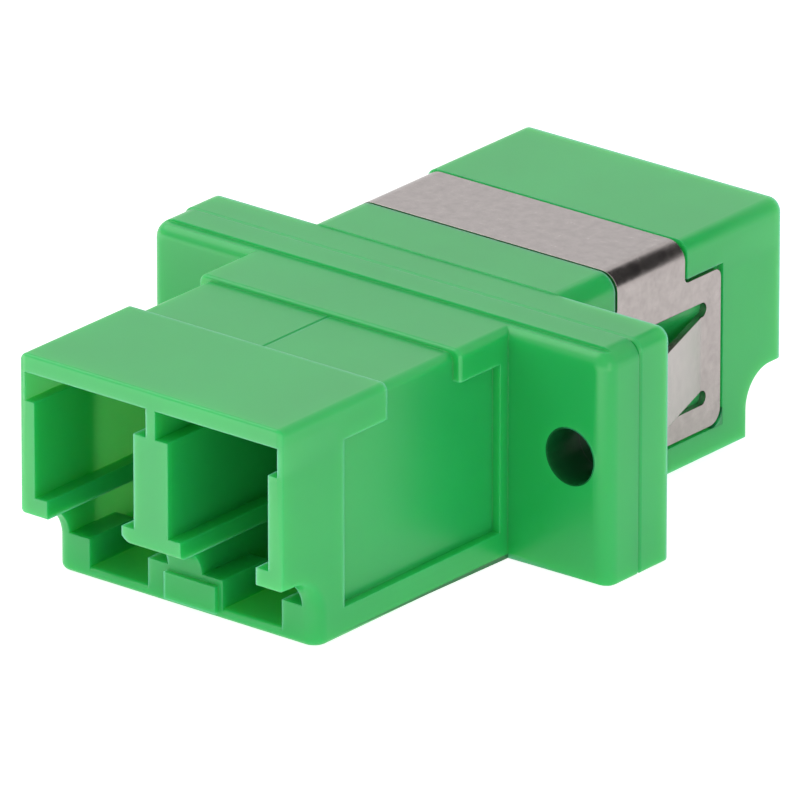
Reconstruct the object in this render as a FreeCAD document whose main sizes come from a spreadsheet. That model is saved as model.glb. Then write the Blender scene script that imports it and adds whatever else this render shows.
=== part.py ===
import FreeCAD, Part

import os
import re

import Sketcher

# Flanged duplex fibre adapter: two welded housing halves that each open in a
# pair of ports, two split sleeves between them, and a folded spring clip that
# holds the adapter in its panel.
#
# The frame: X runs across the two ports, Y along the ferrules and Z up, away
# from the plug latches. The origin is on the underside, midway between the
# two port faces. The front housing reaches towards -Y and the rear towards +Y.

# ---------------------------------------------------------------- sizes (mm)
SIZES = {
    # the ports and what plugs into them
    "port_pitch": 6.25,
    "ferrule_height": 5.78,
    "port_width": 4.66,
    "port_top": 8.19,
    "ear_top": 3.36,
    "ear_bottom": 2.65,
    "ear_reach": 0.575,
    "catch_gap": 2.77,
    "catch_top": 1.39,
    "catch_length": 2.6,
    "flare_floor": 7.07,
    "flare_depth": 3.3,
    "flare_reach": 5.88,
    "neck_width": 0.43,
    # both housings
    "overall_length": 29.0,
    "body_width": 12.24,
    "step_depth": 1.92,
    "step_radius": 1.4,
    "seam_place": 0.3,
    # front housing
    "band_top": 8.9,
    "band_length": 5.95,
    "band_low_edge": 7.5,
    "relief_start": 3.5,
    "relief_floor": 1.0,
    "relief_depth": 0.36,
    "waist_top": 8.66,
    "waist_corner": 0.3,
    "collar_top": 8.84,
    "collar_length": 2.75,
    "collar_low_edge": 7.6,
    "heel_length": 0.45,
    "front_bottom": 0.03,
    "front_floor": 0.4,
    "foot_corner": 0.6,
    "base_edge": 0.2,
    "lip_edge": 0.15,
    "brow_edge": 0.4,
    "cheek_edge": 0.3,
    "collar_corner": 0.35,
    "collar_edge": 0.14,
    "ear_key": 0.35,
    "line_width": 0.14,
    "line_depth": 0.08,
    "gate_place": 0.35,
    "gate_width": 2.4,
    "gate_height": 1.15,
    "gate_depth": 0.2,
    # rear housing
    "rear_top": 9.0,
    "rear_bottom": 0.3,
    "rear_floor": 0.65,
    "rear_corner": 0.5,
    "shoulder_corner": 0.75,
    # flange
    "flange_width": 21.2,
    "flange_height": 8.95,
    "flange_front": 1.6,
    "flange_rear": 1.9,
    "flange_corner": 0.7,
    "flange_edge": 0.6,
    "seam_bevel": 0.1,
    "screw_spacing": 18.0,
    "screw_hole": 2.16,
    "screw_height": 4.6,
    # guide tubes and sleeves
    "tube_diameter": 2.8,
    "tube_reach": 4.0,
    "tube_bevel": 0.25,
    "funnel_mouth": 1.8,
    "lip_bore": 1.4,
    "sleeve_length": 6.8,
    "sleeve_diameter": 1.62,
    "sleeve_bore": 1.25,
    "sleeve_slit": 0.4,
    "sleeve_play": 0.02,
    # clip
    "sheet": 0.28,
    "clip_gap": 0.14,
    "clip_middle": 6.8,
    "strap_width": 4.0,
    "plate_width": 8.3,
    "plate_top": 7.4,
    "plate_bottom": 1.28,
    "plate_low_corner": 0.6,
    "plate_high_corner": 0.35,
    "plate_inner_corner": 0.2,
    "clip_bend": 0.75,
    "window_rear": 10.1,
    "window_front": 3.5,
    "window_bottom": 2.27,
    "window_top": 6.33,
    "slot_width": 0.57,
    "tab_root": 0.3,
    "tab_end": 3.95,
    "tab_rise": 2.04,
}

doc = FreeCAD.newDocument("Adapter")
sheet = doc.addObject("Spreadsheet::Sheet", "Sizes")
for row, (alias, value) in enumerate(SIZES.items(), start=1):
    sheet.set("A%d" % row, alias)
    sheet.set("B%d" % row, str(value))
    sheet.setAlias("B%d" % row, alias)
doc.recompute()

ALIAS = re.compile(r"\b(%s)\b" % "|".join(sorted(SIZES, key=len, reverse=True)))
FRONT, REAR = 1, -1
SIDES = (-1, 1)
FACE = "overall_length / 2"
FOOT = "(overall_length / 2 - step_depth)"
CATCH_END = "(overall_length / 2 - step_depth - catch_length)"


def bound(text):
    """An expression in plain size names, pointed at the sheet's cells."""
    return ALIAS.sub(r"Sizes.\1", text)


# ------------------------------------------------------------ sketch helpers
def new_body(label):
    body = doc.addObject("PartDesign::Body", label)
    body.Label = label
    return body


def plane_of(body, role):
    return next(f for f in body.Origin.OriginFeatures if f.Role == role + "_Plane")


def new_sketch(body, name, role, height="0"):
    """A sketch on one of the body's planes, moved along the plane's normal."""
    sketch = body.newObject("Sketcher::SketchObject", name)
    sketch.AttachmentSupport = [(plane_of(body, role), "")]
    sketch.MapMode = "FlatFace"
    sketch.setExpression("AttachmentOffset.Base.z", bound(height))
    return sketch


def cross_section(body, name, end, depth):
    """A sketch across the ports, at a depth from the middle towards one end."""
    return new_sketch(body, name, "XZ", "%d * (%s)" % (end, depth))


def pin_point(sketch, geometry, vertex, place):
    """Tie a vertex to the sketch's origin by two named, bound dimensions."""
    for kind, axis, text in zip(("DistanceX", "DistanceY"), (-2, -1), place):
        value = float(sketch.evalExpression(bound(text)))
        if abs(value) < 1e-9:
            sketch.addConstraint(Sketcher.Constraint("PointOnObject", geometry, vertex, axis))
            continue
        at = sketch.addConstraint(Sketcher.Constraint(kind, -1, 1, geometry, vertex, value))
        label = "%s%d_%d" % (kind[-1], geometry, vertex)
        sketch.renameConstraint(at, label)
        sketch.setExpression("Constraints." + label, bound(text))


def read_point(sketch, place):
    return FreeCAD.Vector(*(float(sketch.evalExpression(bound(text))) for text in place), 0)


def outline(sketch, places):
    """A closed outline of straight lines through the given corners."""
    corners = [read_point(sketch, place) for place in places]
    first = sketch.GeometryCount
    count = len(corners)
    for i in range(count):
        sketch.addGeometry(Part.LineSegment(corners[i], corners[(i + 1) % count]))
    for i in range(count):
        after = first + (i + 1) % count
        sketch.addConstraint(Sketcher.Constraint("Coincident", first + i, 2, after, 1))
    for i, place in enumerate(places):
        pin_point(sketch, first + i, 1, place)


def box_outline(sketch, low, high):
    (x0, y0), (x1, y1) = low, high
    outline(sketch, [(x0, y0), (x1, y0), (x1, y1), (x0, y1)])


def circle(sketch, centre, diameter):
    size = float(sketch.evalExpression(bound(diameter)))
    ring = sketch.addGeometry(
        Part.Circle(read_point(sketch, centre), FreeCAD.Vector(0, 0, 1), size / 2))
    pin_point(sketch, ring, 3, centre)
    at = sketch.addConstraint(Sketcher.Constraint("Diameter", ring, size))
    sketch.renameConstraint(at, "Round%d" % ring)
    sketch.setExpression("Constraints.Round%d" % ring, bound(diameter))


def solid_from(body, kind, name, sketch, length, flip=False):
    """A Pad or a Pocket of a sketch, with its length bound to the sheet."""
    feature = body.newObject("PartDesign::" + kind, name)
    feature.Profile = sketch
    feature.setExpression("Length", bound(length))
    feature.Reversed = flip
    sketch.Visibility = False
    doc.recompute()
    return feature


def soften(body, kind, name, size, test):
    """A Fillet or Chamfer on the edges of the body that pass the test."""
    base = body.Tip
    names = ["Edge%d" % i for i, edge in enumerate(base.Shape.Edges, start=1)
             if test(edge, edge.BoundBox)]
    if not names:
        raise RuntimeError("no edge found for " + name)
    feature = body.newObject("PartDesign::" + kind, name)
    feature.Base = (base, names)
    feature.setExpression("Radius" if kind == "Fillet" else "Size", bound(size))
    doc.recompute()
    return feature


def value(text):
    """The number that an expression in size names comes to."""
    return float(sheet.evalExpression(bound(text)))


def lies(box, axis, **places):
    """True where an edge's box runs along one axis alone, at the given places.

    A place is a number or a (low, high) pair; x counts from the middle, so
    it finds the edges of both sides.
    """
    spans = {"x": box.XLength, "y": box.YLength, "z": box.ZLength}
    centre = {"x": abs(box.Center.x), "y": box.Center.y, "z": box.Center.z}
    for key, place in places.items():
        low, high = place if isinstance(place, tuple) else (place, place)
        if not low - 1e-4 <= centre[key] <= high + 1e-4:
            return False
    return spans.pop(axis) > 1e-4 and max(spans.values()) < 1e-4


# ------------------------------------------------- what both housings share
def add_flange(body, end, face, seam):
    """The flange half with its screw holes, round corners and bevelled seam."""
    sketch = cross_section(body, "FlangeOutline", end, seam)
    box_outline(sketch, ("-flange_width / 2", "0"), ("flange_width / 2", "flange_height"))
    for side in SIDES:
        circle(sketch, ("%d * screw_spacing / 2" % side, "screw_height"), "screw_hole")
    solid_from(body, "Pad", "Flange", sketch, "(%s) - (%s)" % (face, seam), end == REAR)
    side = value("flange_width / 2")
    soften(body, "Fillet", "FlangeCorners", "flange_corner",
           lambda edge, box: lies(box, "y", x=side))
    seam_y = -end * value(seam)
    soften(body, "Chamfer", "SeamBevel", "seam_bevel", lambda edge, box:
           box.YLength < 1e-4 and abs(box.YMin - seam_y) < 1e-4 and not edge.isClosed())


def add_section(body, end, start, low, high):
    """The plain outer section of the housing, out to its port face."""
    sketch = cross_section(body, "Section", end, start)
    box_outline(sketch, ("-body_width / 2", low), ("body_width / 2", high))
    solid_from(body, "Pad", "Shell", sketch, "%s - (%s)" % (FACE, start), end == REAR)


def add_latch_step(body, end):
    """The step under the port face that lets a finger reach the latches."""
    sketch = new_sketch(body, "StepOutline", "YZ", "-body_width")
    box_outline(sketch, ("%d * %s" % (-end, FOOT), "-1"),
                ("%d * (%s + 1)" % (-end, FACE), "ear_bottom"))
    solid_from(body, "Pocket", "LatchStep", sketch, "2 * body_width", True)
    foot, half = -end * value(FOOT), value("body_width / 2")
    soften(body, "Fillet", "StepCorner", "step_radius",
           lambda edge, box: lies(box, "x", y=foot, z=value("ear_bottom")))
    soften(body, "Fillet", "FootCorners", "foot_corner",
           lambda edge, box: lies(box, "z", x=half, y=foot))


def port_corners(side, floor, slot_half=None):
    """One port's stepped outline: plug body between the ears, latch below.

    With slot_half, the latch channel narrows to the slot between the catches.
    On the -X port the middle wall's ear has its lower corner cut off.
    """
    half, gap = "port_width / 2", "port_width / 2 - ear_reach"
    steps = [(half, "port_top"), (half, "ear_top"), (gap, "ear_top"), (gap, "ear_bottom"),
             (half, "ear_bottom")]
    if slot_half:
        steps += [(half, "catch_top"), (slot_half, "catch_top"), (slot_half, floor)]
    else:
        steps += [(half, floor)]
    axis = "%d * port_pitch / 2" % side
    left = [("%s - (%s)" % (axis, x), z) for x, z in reversed(steps)]
    if side < 0:
        steps[3:4] = [(gap, "ear_bottom + ear_key"), (gap + " + ear_key", "ear_bottom")]
    right = [("%s + (%s)" % (axis, x), z) for x, z in steps]
    return right + left


def add_ports(body, end, wall, floor):
    """Both ports: mouth between the catches, chamber behind, flared top."""
    flip = end == REAR
    sketch = cross_section(body, "MouthOutline", end, FACE)
    for side in SIDES:
        outline(sketch, port_corners(side, floor, "catch_gap / 2"))
    solid_from(body, "Pocket", "Mouth", sketch, "%s - %s" % (FACE, CATCH_END), flip)

    sketch = cross_section(body, "ChamberOutline", end, CATCH_END)
    for side in SIDES:
        outline(sketch, port_corners(side, floor))
    solid_from(body, "Pocket", "Chamber", sketch, "%s - (%s)" % (CATCH_END, wall), flip)

    sketch = cross_section(body, "FlareOutline", end, FACE)
    for side in SIDES:
        box_outline(sketch, ("%d * neck_width / 2" % side, "flare_floor"),
                    ("%d * flare_reach" % side, "port_top"))
    solid_from(body, "Pocket", "Flare", sketch, "flare_depth", flip)


def add_round(body, kind, name, end, start, length, diameter):
    """A round Pad or Pocket on both ferrule axes, towards or from the port face."""
    sketch = cross_section(body, name + "Outline", end, start)
    for side in SIDES:
        circle(sketch, ("%d * port_pitch / 2" % side, "ferrule_height"), diameter)
    solid_from(body, kind, name, sketch, length, end == REAR)


def add_guide_tubes(body, end, wall, seam):
    """The tubes on the middle wall: each holds half of a sleeve."""
    add_round(body, "Pad", "GuideTubes", end, wall, "tube_reach - (%s)" % wall, "tube_diameter")
    tip = -end * value("tube_reach")
    soften(body, "Chamfer", "TubeTips", "tube_bevel",
           lambda edge, box: box.YLength < 1e-4 and abs(box.YMin - tip) < 1e-4)
    add_round(body, "Pocket", "SleeveSeats", end, "sleeve_length / 2",
              "sleeve_length / 2 - (%s)" % seam, "sleeve_diameter + 2 * sleeve_play")
    add_funnels(body, end)


def add_funnels(body, end):
    """The cone that leads a ferrule into each tube, down to the sleeve's lip."""
    places = ["sleeve_length / 2", "tube_reach"]
    sizes = ["lip_bore / 2", "funnel_mouth / 2"]
    if end == REAR:
        sizes.reverse()
        places = ["-tube_reach", "-sleeve_length / 2"]
    for side in SIDES:
        cone = body.newObject("PartDesign::SubtractiveCone", "FerruleFunnel")
        cone.AttachmentSupport = [(plane_of(body, "XZ"), "")]
        cone.MapMode = "FlatFace"
        cone.setExpression("AttachmentOffset.Base.x", bound("%d * port_pitch / 2" % side))
        cone.setExpression("AttachmentOffset.Base.y", bound("ferrule_height"))
        cone.setExpression("AttachmentOffset.Base.z", bound(places[0]))
        cone.setExpression("Height", bound("%s - (%s)" % (places[1], places[0])))
        cone.setExpression("Radius1", bound(sizes[0]))
        cone.setExpression("Radius2", bound(sizes[1]))
        doc.recompute()


# -------------------------------------------------------------- the pieces
def add_side_reliefs(body, band_end, collar_face, heel):
    """The sides stand back between the band, the ledge, the heel and the collar."""
    start = "relief_start - %s" % FACE
    over = "band_top + 1"
    for side in SIDES:
        sketch = new_sketch(body, "ReliefOutline", "YZ",
                            "%d * (body_width / 2 - relief_depth)" % side)
        outline(sketch, [(start, "relief_floor"), (heel, "relief_floor"),
                         (heel, "collar_low_edge"), (collar_face, "collar_low_edge"),
                         (collar_face, over), (band_end, over),
                         (band_end, "band_low_edge"), (start, "band_low_edge")])
        solid_from(body, "Pocket", "SideRelief", sketch, "1", side > 0)


def trim_top(body, name, height, start, stop):
    """Lower the housing's top to a height between two places along Y."""
    sketch = new_sketch(body, name + "Outline", "XY", height)
    box_outline(sketch, ("-body_width", start), ("body_width", stop))
    solid_from(body, "Pocket", name, sketch, "1", True)


def make_front_housing():
    """Front half: a raised band at the mouth, a waist, a collar, the flange."""
    body = new_body("front_housing")
    wall, seam = "flange_front", "-seam_place"
    band_end = "band_length - %s" % FACE
    collar_face = "-flange_front - collar_length"
    half, top = value("body_width / 2"), value("band_top")
    face, foot = -value(FACE), -value(FOOT)

    add_flange(body, FRONT, wall, seam)
    edge_y = -value(wall)
    soften(body, "Fillet", "FlangeEdge", "flange_edge", lambda edge, box:
           box.YLength < 1e-4 and abs(box.YMin - edge_y) < 1e-4 and not edge.isClosed())
    add_section(body, FRONT, "flange_front / 2", "front_bottom", "band_top")
    add_latch_step(body, FRONT)
    add_side_reliefs(body, band_end, collar_face, "-flange_front - heel_length")
    trim_top(body, "Waist", "waist_top", band_end, collar_face)
    trim_top(body, "CollarTop", "collar_top", collar_face, "-flange_front + flange_edge")
    sketch = new_sketch(body, "LineOutline", "XY", "waist_top")
    box_outline(sketch, ("-line_width / 2", band_end), ("line_width / 2", collar_face))
    solid_from(body, "Pocket", "CentreLine", sketch, "line_depth")

    collar_y, collar_z = value(collar_face), value("collar_top")
    soften(body, "Fillet", "WaistCorners", "waist_corner", lambda edge, box:
           lies(box, "y", x=half - value("relief_depth"), z=value("waist_top")))
    soften(body, "Fillet", "CollarCorners", "collar_corner", lambda edge, box:
           lies(box, "y", x=half, y=(collar_y, 0), z=collar_z))
    soften(body, "Fillet", "CollarEdge", "collar_edge", lambda edge, box:
           lies(box, "x", y=collar_y, z=collar_z))
    soften(body, "Fillet", "BrowEdge", "brow_edge", lambda edge, box:
           lies(box, "x", y=face, z=top))
    soften(body, "Fillet", "CheekEdges", "cheek_edge", lambda edge, box:
           lies(box, "z", x=half, y=face))
    soften(body, "Fillet", "BaseEdge", "base_edge", lambda edge, box:
           lies(box, "x", y=foot, z=value("front_bottom")))
    add_ports(body, FRONT, wall, "front_floor")
    add_guide_tubes(body, FRONT, wall, seam)
    soften(body, "Fillet", "FloorLips", "lip_edge", lambda edge, box:
           lies(box, "x", y=foot, z=value("front_floor")))

    # the mould's gate leaves a low pad on the foot between the ports
    sketch = cross_section(body, "GateOutline", FRONT, FOOT)
    box_outline(sketch, ("gate_place - gate_width / 2", "front_bottom + base_edge"),
                ("gate_place + gate_width / 2", "gate_height"))
    solid_from(body, "Pad", "GatePad", sketch, "gate_depth")
    return body


def add_clip_channel(body):
    """The channel round the rear housing that the clip lies flush in."""
    inner, roof = "(body_width / 2 - sheet)", "rear_top - sheet"
    sketch = cross_section(body, "StrapOutline", REAR, "clip_middle - strap_width / 2 - clip_gap")
    outline(sketch, [("-body_width", "plate_top"), ("-" + inner, "plate_top"), ("-" + inner, roof),
                     (inner, roof), (inner, "plate_top"), ("body_width", "plate_top"),
                     ("body_width", "rear_top + 1"), ("-body_width", "rear_top + 1")])
    solid_from(body, "Pocket", "StrapChannel", sketch, "strap_width + 2 * clip_gap")
    seat_x, seat_z = value(inner), value(roof)
    soften(body, "Fillet", "SeatCorners", "clip_bend - sheet",
           lambda edge, box: lies(box, "y", x=seat_x, z=seat_z))
    for side in SIDES:
        sketch = new_sketch(body, "PlateSeatOutline", "YZ", "%d * %s" % (side, inner))
        box_outline(sketch, ("clip_middle - plate_width / 2 - clip_gap", "plate_bottom - clip_gap"),
                    ("clip_middle + plate_width / 2 + clip_gap", "plate_top + clip_gap"))
        solid_from(body, "Pocket", "PlateSeat", sketch, "1", side > 0)


def make_rear_housing():
    """Rear half: plain outside, with the clip's channel sunk into it."""
    body = new_body("rear_housing")
    wall, seam = "flange_rear", "seam_place"
    half, top = value("body_width / 2"), value("rear_top")
    middle = value("clip_middle")
    add_section(body, REAR, wall, "rear_bottom", "rear_top")
    add_latch_step(body, REAR)
    add_clip_channel(body)
    soften(body, "Fillet", "ShoulderCorners", "shoulder_corner",
           lambda edge, box: lies(box, "y", x=half, y=(0, middle), z=top))
    soften(body, "Fillet", "RearCorners", "rear_corner",
           lambda edge, box: lies(box, "y", x=half, y=(middle, 99), z=top))
    add_flange(body, REAR, wall, seam)
    add_ports(body, REAR, wall, "rear_floor")
    add_guide_tubes(body, REAR, wall, seam)
    return body


def make_sleeve(side, label):
    """A split ceramic sleeve: a tube with one slit along it."""
    body = new_body(label)
    axis = ("%d * port_pitch / 2" % side, "ferrule_height")
    sketch = cross_section(body, "RingOutline", FRONT, "-sleeve_length / 2")
    circle(sketch, axis, "sleeve_diameter")
    circle(sketch, axis, "sleeve_bore")
    solid_from(body, "Pad", "Tube", sketch, "sleeve_length")
    sketch = cross_section(body, "SlitOutline", FRONT, "sleeve_length / 2")
    box_outline(sketch, (axis[0] + " - sleeve_slit / 2", axis[1]),
                (axis[0] + " + sleeve_slit / 2", axis[1] + " + sleeve_diameter"))
    solid_from(body, "Pocket", "Slit", sketch, "sleeve_length")
    return body


def add_side_plate(body, side):
    """One side plate: its window leaves a tongue, bent out towards the flange."""
    outer, inner = "body_width / 2", "(body_width / 2 - sheet)"
    low, high = "window_bottom + slot_width", "window_top - slot_width"
    root = "window_rear - tab_root"
    sketch = new_sketch(body, "PlateOutline", "YZ", "%d * %s" % (side, inner))
    box_outline(sketch, ("clip_middle - plate_width / 2", "plate_bottom"),
                ("clip_middle + plate_width / 2", "plate_top"))
    outline(sketch, [("window_front", "window_bottom"), ("window_rear", "window_bottom"),
                     ("window_rear", low), (root, low), (root, high), ("window_rear", high),
                     ("window_rear", "window_top"), ("window_front", "window_top")])
    solid_from(body, "Pad", "SidePlate", sketch, "sheet", side < 0)

    end = "%s + tab_rise" % outer
    sketch = new_sketch(body, "TabOutline", "XY", low)
    outline(sketch, [("%d * %s" % (side, inner), root), ("%d * %s" % (side, outer), root),
                     ("%d * (%s)" % (side, end), "tab_end"),
                     ("%d * (%s - sheet)" % (side, end), "tab_end")])
    solid_from(body, "Pad", "Tab", sketch, "(%s) - (%s)" % (high, low))


def make_clip():
    """One folded sheet: a strap over the top, two side plates, two lanced tabs."""
    body = new_body("retention_clip")
    outer, inner = "body_width / 2", "(body_width / 2 - sheet)"
    sketch = cross_section(body, "StrapOutline", REAR, "clip_middle - strap_width / 2")
    outline(sketch, [("-" + inner, "plate_top"), ("-" + inner, "rear_top - sheet"),
                     (inner, "rear_top - sheet"), (inner, "plate_top"), (outer, "plate_top"),
                     (outer, "rear_top"), ("-" + outer, "rear_top"), ("-" + outer, "plate_top")])
    solid_from(body, "Pad", "Strap", sketch, "strap_width", True)
    half, top, sheet_mm = value(outer), value("rear_top"), value("sheet")
    soften(body, "Fillet", "OuterBends", "clip_bend",
           lambda edge, box: lies(box, "y", x=half, z=top))
    soften(body, "Fillet", "InnerBends", "clip_bend - sheet",
           lambda edge, box: lies(box, "y", x=half - sheet_mm, z=top - sheet_mm))
    for side in SIDES:
        add_side_plate(body, side)

    # the plates' own corners, all square to the sheet
    reach, low, high = value("plate_width / 2"), value("plate_bottom"), value("plate_top")
    middle, strap = value("clip_middle"), value("strap_width / 2")
    window = (value("window_bottom"), value("window_top"))
    soften(body, "Fillet", "LowCorners", "plate_low_corner", lambda edge, box:
           lies(box, "x", z=low) and abs(abs(box.YMin - middle) - reach) < 1e-4)
    soften(body, "Fillet", "HighCorners", "plate_high_corner", lambda edge, box:
           lies(box, "x", z=high) and abs(abs(box.YMin - middle) - reach) < 1e-4)
    soften(body, "Fillet", "InnerCorners", "plate_inner_corner", lambda edge, box:
           lies(box, "x", z=high) and abs(abs(box.YMin - middle) - strap) < 1e-4)
    soften(body, "Fillet", "SlotEnds", "slot_width / 2.1", lambda edge, box:
           lies(box, "x", y=value("window_rear"), z=window))
    return body


PIECES = [
    make_front_housing(),
    make_rear_housing(),
    make_sleeve(-1, "alignment_sleeve_left"),
    make_sleeve(1, "alignment_sleeve_right"),
    make_clip(),
]
doc.recompute()

for item in doc.Objects:
    if "Invalid" in item.State or "Error" in item.State:
        raise RuntimeError("%s is %s" % (item.Label, item.State))
for piece in PIECES:
    if piece.Shape.isNull() or not piece.Shape.isValid():
        raise RuntimeError(piece.Label + " has no valid shape")
    if len(piece.Shape.Solids) != 1:
        raise RuntimeError(piece.Label + " isn't one solid")

os.makedirs("parts", exist_ok=True)
for piece in PIECES:
    piece.Shape.exportStep("parts/%s.step" % piece.Label)
    print(piece.Label, "%.1f mm3" % piece.Shape.Volume)
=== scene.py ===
"""Dresses the flanged duplex fibre adapter: moulded housings, ceramic sleeves, steel clip."""

import logging
import math
from dataclasses import dataclass, field
from enum import Enum
from typing import Any

import bmesh
import bpy
from mathutils import Euler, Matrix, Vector


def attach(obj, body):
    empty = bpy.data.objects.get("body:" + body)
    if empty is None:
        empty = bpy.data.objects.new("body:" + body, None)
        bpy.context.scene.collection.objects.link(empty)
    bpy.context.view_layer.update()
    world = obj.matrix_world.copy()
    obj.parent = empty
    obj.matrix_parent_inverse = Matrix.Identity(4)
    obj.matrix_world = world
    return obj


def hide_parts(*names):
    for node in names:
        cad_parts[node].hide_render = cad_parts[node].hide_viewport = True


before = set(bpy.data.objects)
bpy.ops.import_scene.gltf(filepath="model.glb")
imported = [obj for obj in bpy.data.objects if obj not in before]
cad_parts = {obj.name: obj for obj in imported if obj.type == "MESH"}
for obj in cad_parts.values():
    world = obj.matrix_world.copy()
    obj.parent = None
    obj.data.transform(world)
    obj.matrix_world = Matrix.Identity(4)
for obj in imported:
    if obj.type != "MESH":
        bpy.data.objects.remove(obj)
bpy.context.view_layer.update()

logging.basicConfig(level=logging.INFO, format="%(name)s: %(message)s")
log = logging.getLogger("adapter")

MM = 0.001
"""Metres in a millimetre."""

SCREW_HOLE_MM = (9.0, 4.6)
"""How far out and how high the middle of each flange hole is."""

Point = tuple[float, float, float]
"""Three lengths, or a direction."""


# ------------------------------------------------------------------ helpers
def linear(hex_colour: str) -> tuple[float, float, float, float]:
    """Turn an sRGB hex colour into linear RGBA.

    Args:
        hex_colour: Six hex digits, with or without a leading #.

    Returns:
        Linear red, green, blue and an alpha of 1.
    """
    digits = hex_colour.lstrip("#")
    channels = [int(digits[i:i + 2], 16) / 255 for i in (0, 2, 4)]
    red, green, blue = (c / 12.92 if c <= 0.04045 else ((c + 0.055) / 1.055) ** 2.4 for c in channels)
    return (red, green, blue, 1.0)


def add_node(tree: bpy.types.NodeTree, kind: str, links: dict[str, Any] | None = None,
             **settings: Any) -> bpy.types.Node:
    """Add a node with its settings, values and links.

    Args:
        tree: The node tree.
        kind: The node's Blender type name.
        links: Input name to a constant, or to the output socket that feeds it.
        settings: Attributes set on the node itself.

    Returns:
        The new node.
    """
    node = tree.nodes.new(kind)
    for name, setting in settings.items():
        setattr(node, name, setting)
    for name, source in (links or {}).items():
        socket = node.inputs[int(name)] if name.isdigit() else node.inputs[name]
        if isinstance(source, bpy.types.NodeSocket):
            tree.links.new(source, socket)
        else:
            socket.default_value = source
    return node


def new_material(name: str) -> tuple[bpy.types.Material, bpy.types.NodeTree]:
    """Make a material with an empty node tree.

    Args:
        name: The material's name.

    Returns:
        The material and its node tree.
    """
    material = bpy.data.materials.new(name)
    material.use_nodes = True
    material.node_tree.nodes.clear()
    return material, material.node_tree


def fill_colour(mix: bpy.types.Node, name: str, colour: tuple[float, float, float, float]) -> None:
    """Set the colour input of that name on a colour Mix node."""
    next(i for i in mix.inputs if i.name == name and i.type == "RGBA").default_value = colour


def colour_output(mix: bpy.types.Node) -> bpy.types.NodeSocket:
    """Return the colour output of a colour Mix node."""
    return next(o for o in mix.outputs if o.type == "RGBA")


# ----------------------------------------------------------------- finishes
@dataclass(frozen=True)
class MouldedPbt:
    """Injection-moulded PBT, dyed through.

    The resin is a little milky: light that enters a thin wall comes out
    again beside it, so thin walls glow and shaded corners stay a deep,
    clean green. The mould's polish leaves a soft sheen. Inside the screw
    holes a darker green is painted in as shade for the deep bore, and the
    sheen there is turned down.
    """

    name: str = "moulded_pbt_green"
    colour: str = "22B55A"
    # painted shade: the darker green painted inside the screw holes for the shade deep in the bore
    shaded_hole_colour: str = "0E5A2B"
    roughness: float = 0.3
    ior: float = 1.5
    scatter: float = 0.72
    scatter_mm: Point = (2.2, 1.8, 1.3)
    edge_mm: float = 0.06
    grain_mm: float = 0.35
    grain_height_mm: float = 0.004
    grain_strength: float = 0.25
    cloud_mm: float = 6.0
    cloud_swing: float = 0.04
    gloss: float = 0.5
    # painted shade: the lower sheen inside the screw holes, which darkens the bore
    shaded_hole_gloss: float = 0.08
    hole_reach_mm: float = 1.13

    def build(self) -> bpy.types.Material:
        """Build the material.

        Returns:
            The material.
        """
        material, tree = new_material(self.name)
        place = add_node(tree, "ShaderNodeTexCoord")
        grain = add_node(tree, "ShaderNodeTexNoise",
                         {"Vector": place.outputs["Object"], "Scale": 1 / (self.grain_mm * MM),
                          "Detail": 3.0, "Roughness": 0.55})
        cloud = add_node(tree, "ShaderNodeTexNoise",
                         {"Vector": place.outputs["Object"], "Scale": 1 / (self.cloud_mm * MM),
                          "Detail": 2.0})
        tint = add_node(tree, "ShaderNodeMapRange",
                        {"Value": cloud.outputs["Fac"], "From Min": 0.3, "From Max": 0.7,
                         "To Min": 1 - self.cloud_swing, "To Max": 1 + self.cloud_swing})
        # painted shade: the screw holes take a darker colour and less sheen
        in_shaded_hole = self.in_shaded_hole(tree, place.outputs["Object"])
        base = add_node(tree, "ShaderNodeMix", {"Factor": in_shaded_hole}, data_type="RGBA")
        fill_colour(base, "A", linear(self.colour))
        fill_colour(base, "B", linear(self.shaded_hole_colour))
        colour = add_node(tree, "ShaderNodeVectorMath",
                          {"0": colour_output(base), "Scale": tint.outputs["Result"]},
                          operation="SCALE")
        rounded = add_node(tree, "ShaderNodeBevel", {"Radius": self.edge_mm * MM}, samples=6)
        bump = add_node(tree, "ShaderNodeBump",
                        {"Height": grain.outputs["Fac"], "Strength": self.grain_strength,
                         "Distance": self.grain_height_mm * MM,
                         "Normal": rounded.outputs["Normal"]})
        shine = add_node(tree, "ShaderNodeMapRange",
                         {"Value": in_shaded_hole, "To Min": self.gloss, "To Max": self.shaded_hole_gloss})
        shader = add_node(tree, "ShaderNodeBsdfPrincipled",
                          {"Base Color": colour.outputs["Vector"],
                           "Roughness": self.roughness, "IOR": self.ior,
                           "Specular IOR Level": shine.outputs["Result"],
                           "Subsurface Weight": self.scatter,
                           "Subsurface Radius": self.scatter_mm, "Subsurface Scale": MM,
                           "Normal": bump.outputs["Normal"]})
        add_node(tree, "ShaderNodeOutputMaterial", {"Surface": shader.outputs["BSDF"]})
        return material

    def in_shaded_hole(self, tree: bpy.types.NodeTree,
                place: bpy.types.NodeSocket) -> bpy.types.NodeSocket:
        """Add the test for a point in one of the two screw holes, where shade is painted in.

        Args:
            tree: The node tree.
            place: The point, in the object's own coordinates.

        Returns:
            A socket that is 1 in a hole and 0 elsewhere.
        """
        parts = add_node(tree, "ShaderNodeSeparateXYZ", {"Vector": place})
        across = add_node(tree, "ShaderNodeMath", {"0": parts.outputs["X"]}, operation="ABSOLUTE")
        flat = add_node(tree, "ShaderNodeCombineXYZ",
                        {"X": across.outputs["Value"], "Z": parts.outputs["Z"]})
        middle = (SCREW_HOLE_MM[0] * MM, 0.0, SCREW_HOLE_MM[1] * MM)
        away = add_node(tree, "ShaderNodeVectorMath",
                        {"0": flat.outputs["Vector"], "1": middle}, operation="DISTANCE")
        return add_node(tree, "ShaderNodeMath",
                        {"0": away.outputs["Value"], "1": self.hole_reach_mm * MM},
                        operation="LESS_THAN").outputs["Value"]


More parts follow.
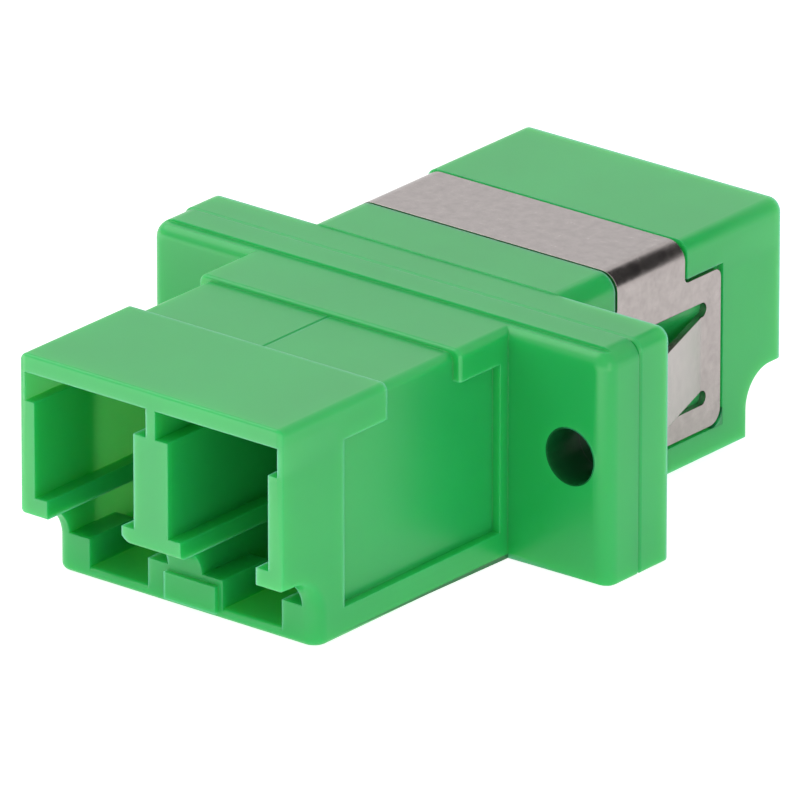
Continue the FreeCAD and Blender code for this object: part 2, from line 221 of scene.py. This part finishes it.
@dataclass(frozen=True)
class RolledStainless:
    """Cold-rolled stainless sheet, blanked and folded.

    Rolling leaves a soft satin with a faint cloudy mottle; the sheet
    mirrors the pale room except at its bends, which catch the dark above.
    """

    name: str = "rolled_stainless"
    colour: str = "A9A19F"
    dullest: float = 0.28
    glossiest: float = 0.21
    darkest: float = 0.86
    lightest: float = 1.1
    mottle_mm: float = 0.45
    edge_mm: float = 0.04

    def build(self) -> bpy.types.Material:
        """Build the material.

        Returns:
            The material.
        """
        material, tree = new_material(self.name)
        place = add_node(tree, "ShaderNodeTexCoord")
        mottle = add_node(tree, "ShaderNodeTexNoise",
                          {"Vector": place.outputs["Object"], "Scale": 1 / (self.mottle_mm * MM),
                           "Detail": 5.0, "Roughness": 0.7})
        gloss = add_node(tree, "ShaderNodeMapRange",
                         {"Value": mottle.outputs["Fac"], "From Min": 0.3, "From Max": 0.7,
                          "To Min": self.glossiest, "To Max": self.dullest})
        tint = add_node(tree, "ShaderNodeMapRange",
                        {"Value": mottle.outputs["Fac"], "From Min": 0.3, "From Max": 0.7,
                         "To Min": self.darkest, "To Max": self.lightest})
        colour = add_node(tree, "ShaderNodeVectorMath",
                          {"0": linear(self.colour)[:3], "Scale": tint.outputs["Result"]},
                          operation="SCALE")
        rounded = add_node(tree, "ShaderNodeBevel", {"Radius": self.edge_mm * MM}, samples=6)
        shader = add_node(tree, "ShaderNodeBsdfPrincipled",
                          {"Base Color": colour.outputs["Vector"], "Metallic": 1.0,
                           "Roughness": gloss.outputs["Result"],
                           "Normal": rounded.outputs["Normal"]})
        add_node(tree, "ShaderNodeOutputMaterial", {"Surface": shader.outputs["BSDF"]})
        return material


@dataclass(frozen=True)
class GroundZirconia:
    """Ground zirconia: dense white ceramic with a waxy polish."""

    name: str = "ground_zirconia"
    colour: str = "EDEAE0"
    roughness: float = 0.18
    ior: float = 2.1
    scatter: float = 0.2
    scatter_mm: Point = (0.4, 0.35, 0.3)

    def build(self) -> bpy.types.Material:
        """Build the material.

        Returns:
            The material.
        """
        material, tree = new_material(self.name)
        shader = add_node(tree, "ShaderNodeBsdfPrincipled",
                          {"Base Color": linear(self.colour), "Roughness": self.roughness,
                           "IOR": self.ior, "Subsurface Weight": self.scatter,
                           "Subsurface Radius": self.scatter_mm, "Subsurface Scale": MM})
        add_node(tree, "ShaderNodeOutputMaterial", {"Surface": shader.outputs["BSDF"]})
        return material


# ------------------------------------------------------------------- pieces
class End(Enum):
    """The adapter's two ends, by their sign along Y."""

    FRONT = -1
    REAR = 1


class Side(Enum):
    """The adapter's two sides, by their sign along X."""

    LEFT = -1
    RIGHT = 1


def dress(node: str, material: bpy.types.Material) -> bpy.types.Object:
    """Give a CAD node its material.

    Args:
        node: The node's name.
        material: The finish.

    Returns:
        The node's object.
    """
    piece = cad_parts[node]
    piece.data.materials.clear()
    piece.data.materials.append(material)
    return piece


@dataclass(frozen=True)
class CrispEdges:
    """Tightens the rounding of a housing half's outer edges.

    The solids carry generous radii on these edges; the mould's own are
    tighter. Each point of a rounding moves part of the way to where it
    would lie on a square edge, which scales the radius and leaves every
    flat face flat. Points are (across, out, up) in mm, with "across"
    counted from the middle and "out" from the middle plane towards the
    half's own port face.

    A "keep" is the share of the way back from the square edge at which a
    point stays: 0 squares the edge, 1 leaves it, and more opens it.
    """

    end: End
    # the mouth and the foot under it
    half: float = 6.12
    face: float = 14.5
    top: float = 8.9
    brow: float = 0.4
    cheek: float = 0.3
    face_keep: float = 0.3
    foot: float = 12.58
    foot_corner: float = 0.6
    step: float = 1.4
    step_keep: float = 0.2
    ear: float = 2.65
    ear_inside: float = 4.5
    flare: float = 5.88
    flare_floor: float = 7.0
    # the flange
    flange: float = 10.6
    flange_corner: float = 0.7
    flange_face: float = 1.6
    flange_edge: float = 0.6
    flange_top: float = 8.95
    flange_margin: float = 0.5
    head_keep: float = 0.7
    foot_keep: float = 0.2
    seam_place: float = 0.3
    seam_bevel: float = 0.1
    seam_keep: float = 2.0
    # how much further the flange and the underside reach than the solids
    spread: float = 0.13
    spread_from: float = 9.85
    hole_clear: float = 1.15
    sink: float = 0.18
    sink_below: float = 1.0
    # the scored line along the top
    line_half: float = 0.1
    line_floor: float = 8.58
    line_top: float = 8.66
    line_keep: float = 0.45
    line_slack: float = 0.01
    slack: float = 0.003

    def moved(self, point: Point) -> Point:
        """Say where a point goes; most stay where they are.

        Args:
            point: A place on the half.

        Returns:
            Its place with the edges tightened.
        """
        rules = ((self.line, self.line_keep), (self.seam, self.seam_keep),
                 (self.flange_head, self.head_keep), (self.flange_foot, self.foot_keep),
                 (self.port_face, self.face_keep), (self.latch_step, self.step_keep))
        for rule, keep in rules:
            square = rule(point)
            if square is not None:
                point = tuple(keep * a + (1 - keep) * b for a, b in zip(point, square))
                break
        across, out, up = point
        from_hole = math.hypot(across - SCREW_HOLE_MM[0], up - SCREW_HOLE_MM[1])
        if across > self.spread_from and from_hole >= self.hole_clear:
            across += self.spread
        if up < self.sink_below:
            up -= self.sink * (self.sink_below - up)
        return (across, out, up)

    def line(self, point: Point) -> Point | None:
        """Make the scored centre line of the front half's top shallower."""
        across, out, up = point
        scored = (self.end is End.FRONT and across < self.line_half
                  and abs(up - self.line_floor) < self.line_slack)
        return (across, out, self.line_top) if scored else None

    def seam(self, point: Point) -> Point | None:
        """Open the groove that the two halves leave along the flange's top."""
        across, out, up = point
        on_seam = abs(out - self.end.value * self.seam_place) < self.slack
        in_groove = abs(up - self.flange_top + self.seam_bevel) < self.slack
        return (across, out, self.flange_top) if on_seam and in_groove else None

    def flange_head(self, point: Point) -> Point | None:
        """Tighten the rear half's two upper flange corners.

        Args:
            point: A place on the half.

        Returns:
            Its place on square corners, or None away from them.
        """
        across, out, up = point
        radius = self.flange_corner
        if (self.end is End.FRONT or out > self.flange_face + self.flange_margin
                or across < self.flange - radius - self.slack
                or up < self.flange_top - radius - self.slack):
            return None
        depth = radius - math.hypot(across - self.flange + radius, up - self.flange_top + radius)
        return (self.flange - depth, out, self.flange_top - depth)

    def flange_foot(self, point: Point) -> Point | None:
        """Square the flange's two lower corners and its lower front edge.

        Args:
            point: A place on the half.

        Returns:
            Its place on square edges, or None away from them.
        """
        across, out, up = point
        radius = self.flange_corner
        front_edge = self.end is End.FRONT and out > self.flange_face - self.flange_edge - self.slack
        if out > self.flange_face + self.flange_margin:
            return None
        if across > self.flange - radius - self.slack and up < radius + self.slack:
            depth = radius - math.hypot(across - self.flange + radius, up - radius)
            return (self.flange - depth, out, 0.0 if front_edge else max(depth, 0.0))
        if front_edge and across > self.half - self.slack and up < self.flange_edge + self.slack:
            return (across, self.flange_face, 0.0)
        return None

    def port_face(self, point: Point) -> Point | None:
        """Square the front half's port face along its top, sides and ears.

        The thin wall beside each mouth's flare keeps its thickness.

        Args:
            point: A place on the half.

        Returns:
            Its place on square edges, or None away from them.
        """
        across, out, up = point
        if self.end is End.REAR:
            return None
        if up > self.top - self.brow - self.slack and out > self.face - self.brow - self.slack:
            reach = math.hypot(out - self.face + self.brow, up - self.top + self.brow)
            return (across, self.face, self.top - max(self.brow - reach, 0.0))
        if out < self.face - self.cheek - self.slack or across < self.ear_inside:
            return None
        if across > self.half - self.foot_corner - self.slack and up < self.ear + self.foot_corner:
            return (self.half, self.face, self.ear)
        if up < self.ear + self.cheek + self.slack:
            return (across, self.face, self.ear)
        if across > self.half - self.cheek - self.slack:
            beside_flare = across < self.flare + self.slack and up > self.flare_floor
            return (across if beside_flare else self.half, self.face, up)
        return None

    def latch_step(self, point: Point) -> Point | None:
        """Square the outer edge of the step under the port, from foot to ear.

        On the front half the squaring grows along the step's bend, so that
        its foot keeps the solid's round corner.

        Args:
            point: A place on the half.

        Returns:
            Its place on a square edge, or None away from it.
        """
        across, out, up = point
        radius = self.foot_corner
        if (across < self.half - radius - self.slack or out < self.foot - radius - self.slack
                or up > self.ear + radius + self.slack):
            return None
        bend_out, bend_up = self.foot + self.step, self.ear - self.step
        if out > bend_out - self.slack:
            return (self.half, out, self.ear)
        if up < bend_up + self.slack:
            return (self.half, self.foot, up) if self.end is End.REAR else None
        reach = math.hypot(out - bend_out, up - bend_up)
        square = (self.half, bend_out + (out - bend_out) * self.step / reach,
                  bend_up + (up - bend_up) * self.step / reach)
        if self.end is End.REAR:
            return square
        share = math.atan2(up - bend_up, bend_out - out) / (math.pi / 2)
        return tuple(a + (b - a) * share for a, b in zip(point, square))


@dataclass
class Housing:
    """One moulded half of the adapter."""

    end: End
    finish: bpy.types.Material
    merge_mm: float = 0.001

    def build(self) -> bpy.types.Object:
        """Copy the half's node, merge it, tighten its edges and dress it.

        The node's own normals go with the copy: they are true for the
        smaller radii as well.

        Returns:
            The shell that stands for the node.
        """
        name = "front_housing" if self.end is End.FRONT else "rear_housing"
        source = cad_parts[name].data
        shell = bmesh.new()
        shell.from_mesh(source)
        normals = shell.loops.layers.float_vector.new("normal")
        true_normals = [corner.vector.copy() for corner in source.corner_normals]
        for face in shell.faces:
            for loop in face.loops:
                loop[normals] = true_normals[loop.index]
        bmesh.ops.remove_doubles(shell, verts=shell.verts, dist=self.merge_mm * MM)
        edges = CrispEdges(self.end)
        for vert in shell.verts:
            side = -1 if vert.co.x < 0 else 1
            across, out, up = edges.moved((vert.co.x * side / MM,
                                           vert.co.y * self.end.value / MM, vert.co.z / MM))
            vert.co = Vector((across * side, out * self.end.value, up)) * MM
        mesh = bpy.data.meshes.new(name + "_shell")
        shell.to_mesh(mesh)
        kept = [Vector(loop[normals]) for face in shell.faces for loop in face.loops]
        shell.free()
        mesh.normals_split_custom_set(kept)
        mesh.materials.append(self.finish)
        piece = bpy.data.objects.new(name + "_shell", mesh)
        bpy.context.scene.collection.objects.link(piece)
        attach(piece, "root")
        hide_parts(name)
        return piece


@dataclass
class SeatCorner:
    """The rounded lower corner of the seat that holds the clip's side plate."""

    side: Side
    end: End
    finish: bpy.types.Material
    middle_mm: float = 6.8
    reach_mm: float = 4.29
    low_mm: float = 1.14
    radius_mm: float = 0.66
    sunk_mm: float = 0.03
    inner_mm: float = 5.64
    outer_mm: float = 6.118
    steps: int = 8

    def build(self) -> bpy.types.Object:
        """Build the corner as a prism, sunk into the housing round it.

        Returns:
            The corner.
        """
        turns = [math.pi / 2 * i / self.steps for i in range(self.steps + 1)]
        centre_y = self.middle_mm + self.end.value * (self.reach_mm - self.radius_mm)
        centre_z = self.low_mm + self.radius_mm
        outline = [(centre_y + self.end.value * self.radius_mm * math.sin(turn),
                    centre_z - self.radius_mm * math.cos(turn)) for turn in turns]
        wall = self.middle_mm + self.end.value * (self.reach_mm + self.sunk_mm)
        floor = self.low_mm - self.sunk_mm
        outline += [(wall, centre_z), (wall, floor), (centre_y, floor)]
        places = [self.side.value * self.inner_mm, self.side.value * self.outer_mm]
        count = len(outline)
        points = [Vector((x, y, z)) * MM for x in places for y, z in outline]
        faces = [tuple(range(count)), tuple(range(count, 2 * count))]
        faces += [(i, (i + 1) % count, count + (i + 1) % count, count + i) for i in range(count)]
        mesh = bpy.data.meshes.new("seat_corner")
        mesh.from_pydata(points, [], faces)
        solid = bmesh.new()
        solid.from_mesh(mesh)
        bmesh.ops.recalc_face_normals(solid, faces=solid.faces)
        solid.to_mesh(mesh)
        solid.free()
        mesh.materials.append(self.finish)
        piece = bpy.data.objects.new(f"seat_corner_{self.side.name}_{self.end.name}".lower(), mesh)
        bpy.context.scene.collection.objects.link(piece)
        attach(piece, "root")
        return piece


@dataclass
class Sleeve:
    """One split alignment sleeve."""

    side: Side
    finish: bpy.types.Material

    def build(self) -> bpy.types.Object:
        """Dress the sleeve's node."""
        name = "alignment_sleeve_left" if self.side is Side.LEFT else "alignment_sleeve_right"
        return dress(name, self.finish)


@dataclass
class Clip:
    """The folded spring clip round the rear half."""

    finish: bpy.types.Material

    def build(self) -> bpy.types.Object:
        """Dress the clip's node."""
        return dress("retention_clip", self.finish)


# -------------------------------------------------------------------- stage
@dataclass(frozen=True)
class Softbox:
    """A square lamp that faces the adapter from a direction of any length."""

    name: str
    direction: Point
    reach_mm: float
    width_mm: float
    watts: float

    def hang(self) -> bpy.types.Object:
        """Hang the lamp.

        Returns:
            The lamp's object.
        """
        data = bpy.data.lights.new(self.name, "AREA")
        data.shape = "SQUARE"
        data.size = self.width_mm * MM
        data.energy = self.watts
        lamp = bpy.data.objects.new(self.name, data)
        way = Vector(self.direction).normalized()
        lamp.location = way * self.reach_mm * MM
        lamp.rotation_euler = way.to_track_quat("Z", "Y").to_euler()
        lamp.visible_camera = False
        bpy.context.scene.collection.objects.link(lamp)
        return lamp


@dataclass
class Studio:
    """A plain pale table under soft light, and the camera.

    A "share" is a surface's reflectance and a "glow" the strength of its
    own light.
    """

    ambient: float = 0.62
    table_mm: float = -0.19
    table_side_mm: float = 6000.0
    seen_share: float = 0.5
    seen_glow: float = 0.9
    mirrored_share: float = 0.8
    mirrored_glow: float = 0.6
    pool_glow: float = 2.2
    pool_mm: tuple[float, float] = (-21.0, -13.0)
    matt_share: float = 0.6
    matt_glow: float = 0.6
    card_place_mm: Point = (10.6, 15.7, 15.9)
    card_facing: Point = (-0.54, 0.0, -0.84)
    card_mm: tuple[float, float] = (11.0, 24.0)
    card_colour: float = 0.01
    lamps: tuple[Softbox, ...] = (
        Softbox("front_fill", (0.6, -1.0, 0.25), 320, 160, 0.02),
        Softbox("right_fill", (1.0, -0.3, 0.25), 320, 160, 0.12),
        Softbox("key", (-0.583, -0.3, 0.75), 300, 220, 0.3),
    )
    azimuth: float = 38.93
    elevation: float = 22.0
    distance_mm: float = 604.3
    target_mm: Point = (1.079, -1.6, 4.833)
    lens_mm: float = 746.3
    sensor_mm: float = 36.0
    shift: tuple[float, float] = (0.0004, -0.0011)
    clip: tuple[float, float] = (0.05, 10.0)
    made: list[bpy.types.Object] = field(default_factory=list)

    def room(self) -> None:
        """Fill the world: white where it is seen or mirrored, softer as light."""
        world = bpy.data.worlds.new("pale_room")
        bpy.context.scene.world = world
        world.use_nodes = True
        tree = world.node_tree
        tree.nodes.clear()
        rays = add_node(tree, "ShaderNodeLightPath")
        seen = self.any_of(tree, rays)
        strength = add_node(tree, "ShaderNodeMapRange",
                            {"Value": seen, "To Min": self.ambient, "To Max": 1.0})
        sky = add_node(tree, "ShaderNodeBackground",
                       {"Color": (1.0, 1.0, 1.0, 1.0), "Strength": strength.outputs["Result"]})
        add_node(tree, "ShaderNodeOutputWorld", {"Surface": sky.outputs["Background"]})

    @staticmethod
    def any_of(tree: bpy.types.NodeTree, rays: bpy.types.Node) -> bpy.types.NodeSocket:
        """Add the test for a camera, glossy or transmission ray.

        Args:
            tree: The node tree.
            rays: A Light Path node in it.

        Returns:
            A socket that is 1 for such a ray and 0 for any other.
        """
        total = rays.outputs["Is Camera Ray"]
        for name in ("Is Glossy Ray", "Is Transmission Ray"):
            total = add_node(tree, "ShaderNodeMath", {"0": total, "1": rays.outputs[name]},
                             operation="MAXIMUM").outputs["Value"]
        return total

    def table(self) -> None:
        """Lay the white table, which keeps the adapter's shadow.

        It looks one way to the camera, another in the plastic's sheen, where
        a brighter pool lies before the adapter, and a third as plain light.
        """
        top = self.sheet("table", Vector((0, 0, self.table_mm)), Vector((0, 0, 1)),
                         (self.table_side_mm, self.table_side_mm))
        material, tree = new_material("white_table")
        rays = add_node(tree, "ShaderNodeLightPath")
        place = add_node(tree, "ShaderNodeNewGeometry")
        parts = add_node(tree, "ShaderNodeSeparateXYZ", {"Vector": place.outputs["Position"]})
        pool = add_node(tree, "ShaderNodeMapRange",
                        {"Value": parts.outputs["Y"], "From Min": self.pool_mm[0] * MM,
                         "From Max": self.pool_mm[1] * MM, "To Min": self.pool_glow,
                         "To Max": self.mirrored_glow})
        seen = self.lit(tree, self.seen_share, self.seen_glow)
        mirrored = self.lit(tree, self.mirrored_share, pool.outputs["Result"])
        matt = self.lit(tree, self.matt_share, self.matt_glow)
        gloss = add_node(tree, "ShaderNodeMixShader",
                         {"0": rays.outputs["Is Glossy Ray"], "1": matt, "2": mirrored})
        pick = add_node(tree, "ShaderNodeMixShader",
                        {"0": rays.outputs["Is Camera Ray"], "1": gloss.outputs[0], "2": seen})
        add_node(tree, "ShaderNodeOutputMaterial", {"Surface": pick.outputs[0]})
        top.data.materials.append(material)

    @staticmethod
    def lit(tree: bpy.types.NodeTree, share: float,
            glow: float | bpy.types.NodeSocket) -> bpy.types.NodeSocket:
        """Add a white surface that keeps shadows and glows a little besides.

        Args:
            tree: The node tree.
            share: Its reflectance.
            glow: The strength of its own light.

        Returns:
            The shader's output.
        """
        pale = add_node(tree, "ShaderNodeBsdfDiffuse", {"Color": (share, share, share, 1.0)})
        own = add_node(tree, "ShaderNodeEmission",
                       {"Color": (1.0, 1.0, 1.0, 1.0), "Strength": glow})
        return add_node(tree, "ShaderNodeAddShader",
                        {"0": pale.outputs[0], "1": own.outputs[0]}).outputs[0]

    def sheet(self, name: str, centre: Vector, facing: Vector,
              size: tuple[float, float]) -> bpy.types.Object:
        """Add a flat rectangle to the stage.

        Args:
            name: The rectangle's name.
            centre: Its middle, in mm.
            facing: Its normal.
            size: Its width and height, in mm.

        Returns:
            The new object.
        """
        turn = facing.to_track_quat("Z", "Y").to_matrix()
        wide, high = size[0] / 2, size[1] / 2
        corners = [(turn @ Vector((x, y, 0)) + centre) * MM
                   for x, y in ((-wide, -high), (wide, -high), (wide, high), (-wide, high))]
        mesh = bpy.data.meshes.new(name)
        mesh.from_pydata([tuple(corner) for corner in corners], [], [(0, 1, 2, 3)])
        made = bpy.data.objects.new(name, mesh)
        bpy.context.scene.collection.objects.link(made)
        self.made.append(made)
        return made

    def card(self) -> None:
        """Hang the small black card that draws a dark line along the clip's bend.

        Only mirror reflections see it: it takes no light from the adapter.
        """
        card = self.sheet("black_card", Vector(self.card_place_mm), Vector(self.card_facing),
                          self.card_mm)
        card.visible_camera = False
        card.visible_diffuse = False
        card.visible_shadow = False
        card.visible_transmission = False
        material, tree = new_material("black_card")
        black = add_node(tree, "ShaderNodeBsdfDiffuse",
                         {"Color": (self.card_colour, self.card_colour, self.card_colour, 1.0)})
        add_node(tree, "ShaderNodeOutputMaterial", {"Surface": black.outputs[0]})
        card.data.materials.append(material)

    def camera(self) -> None:
        """Place the camera."""
        azimuth, elevation = math.radians(self.azimuth), math.radians(self.elevation)
        back = Vector((math.sin(azimuth) * math.cos(elevation),
                       -math.cos(azimuth) * math.cos(elevation), math.sin(elevation)))
        data = bpy.data.cameras.new("camera")
        data.sensor_width = self.sensor_mm
        data.lens = self.lens_mm
        data.shift_x, data.shift_y = self.shift
        data.clip_start, data.clip_end = self.clip
        eye = bpy.data.objects.new("camera", data)
        eye.location = (Vector(self.target_mm) + back * self.distance_mm) * MM
        eye.rotation_euler = Euler((math.pi / 2 - elevation, 0.0, azimuth))
        bpy.context.scene.collection.objects.link(eye)
        bpy.context.scene.camera = eye

    def build(self) -> None:
        """Build the stage and keep a list of the objects that are not the adapter."""
        self.room()
        self.table()
        self.card()
        self.made += [lamp.hang() for lamp in self.lamps]
        self.camera()
        bpy.context.scene.view_settings.view_transform = "Standard"


def main() -> None:
    """Dress every piece, log its face count and set the stage."""
    plastic = MouldedPbt().build()
    steel = RolledStainless().build()
    ceramic = GroundZirconia().build()
    pieces = [Housing(end, plastic) for end in End]
    pieces += [Sleeve(side, ceramic) for side in Side]
    pieces += [SeatCorner(side, end, plastic) for side in Side for end in End]
    pieces.append(Clip(steel))
    for piece in pieces:
        made = piece.build()
        log.info("%s dressed, %d faces", made.name, len(made.data.polygons))
    Studio().build()


if __name__ == "__main__":
    main()
